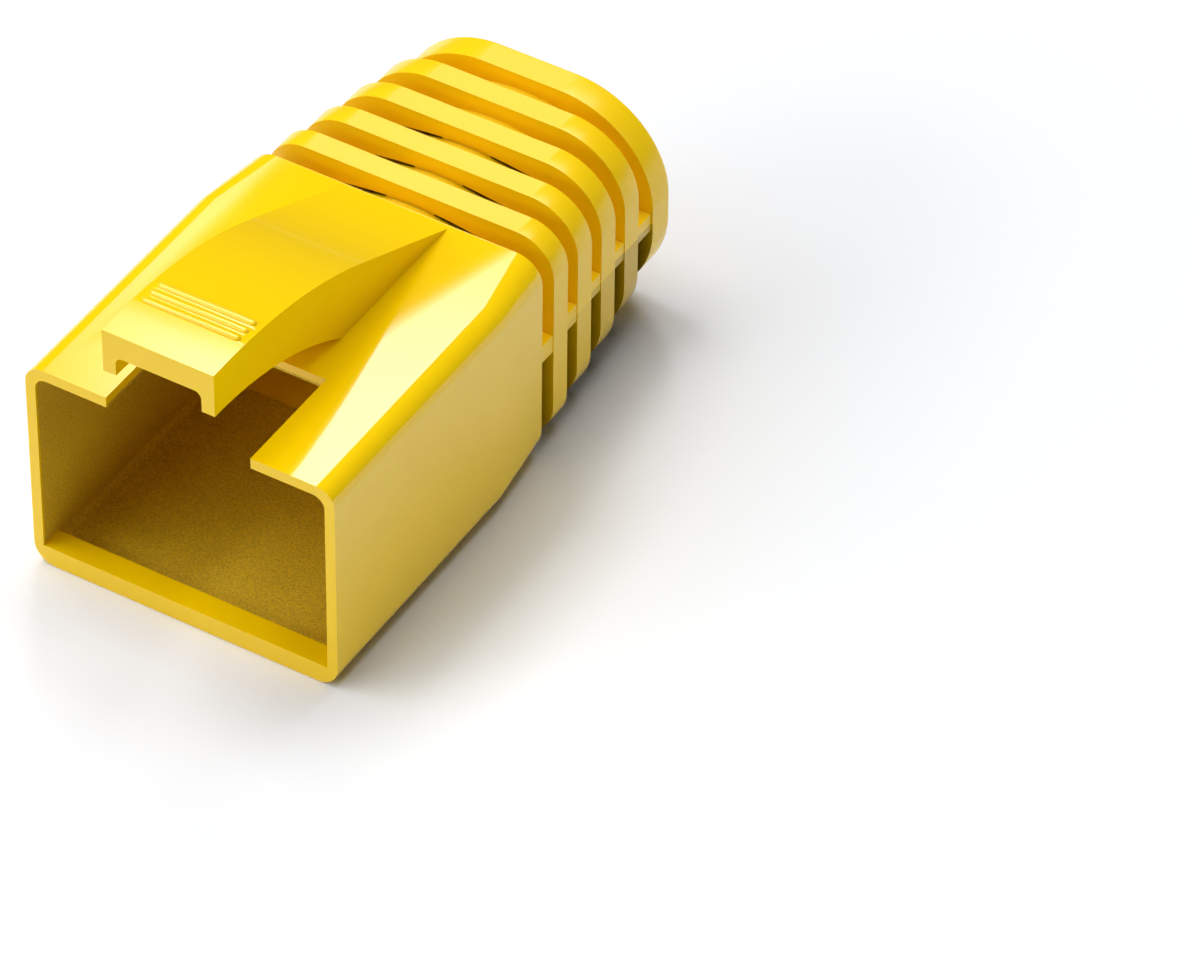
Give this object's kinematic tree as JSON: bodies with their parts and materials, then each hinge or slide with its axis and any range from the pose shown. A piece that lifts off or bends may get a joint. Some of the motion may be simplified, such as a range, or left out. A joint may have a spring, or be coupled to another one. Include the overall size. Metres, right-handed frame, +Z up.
{
  "type": "rj45 strain relief boot",
  "caption": "Yellow moulded boot for an RJ45 plug: a thin rectangular sleeve with a guard arm over its latch slot, and a ringed, flexible cable outlet.",
  "frame": {"origin": "under the middle of the part's length and width, on the surface it lies on", "axes": "+Z up, -Y out of the mouth that takes the plug, +Y along the cable, X across"},
  "size_m": [0.013, 0.0254, 0.0138],
  "materials": {
    "boot": "glossy moulded soft PVC, yellow, with a fine-grained cavity"
  },
  "bodies": {
    "root": {"boot": "boot"}
  },
  "joints": []
}
